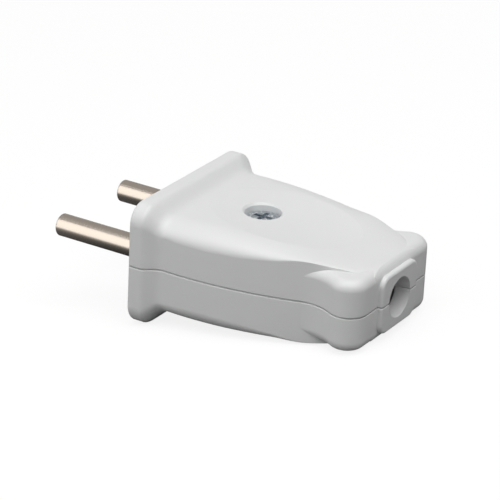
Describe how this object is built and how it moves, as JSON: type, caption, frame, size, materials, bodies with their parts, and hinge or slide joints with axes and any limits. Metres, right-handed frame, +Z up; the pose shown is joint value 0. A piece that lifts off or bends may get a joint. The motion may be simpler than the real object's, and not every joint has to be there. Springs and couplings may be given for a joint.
{
  "type": "two-pin plug",
  "caption": "Rewirable mains plug: a flanged, tapered split body with bare round contact pins, a sunk cover screw on top and an open cord entry at the back.",
  "frame": {"origin": "centre of the engagement face, midway between the pins, on the parting plane", "axes": "+X from the engagement face to the cord entry, so the pins point along -X; +Y across the pins; +Z up, towards the cover screw's head"},
  "size_m": [0.062, 0.0342, 0.022],
  "materials": {
    "shell": "satin off-white moulding",
    "contact": "nickel-plated, fine lengthwise drawing lines",
    "plated_screw": "bright zinc-plated",
    "clamp_strap": "plain bent strip",
    "nut": "bare machined brass"
  },
  "bodies": {
    "root": {"upper_cover": "shell", "lower_base": "shell", "contact_pin_left": "contact", "contact_pin_right": "contact", "terminal_screw_left": "plated_screw", "terminal_screw_right": "plated_screw", "clamp_screw_left": "plated_screw", "clamp_screw_right": "plated_screw", "cord_clamp": "clamp_strap", "cover_screw": "plated_screw", "cover_nut": "nut"}
  },
  "joints": []
}
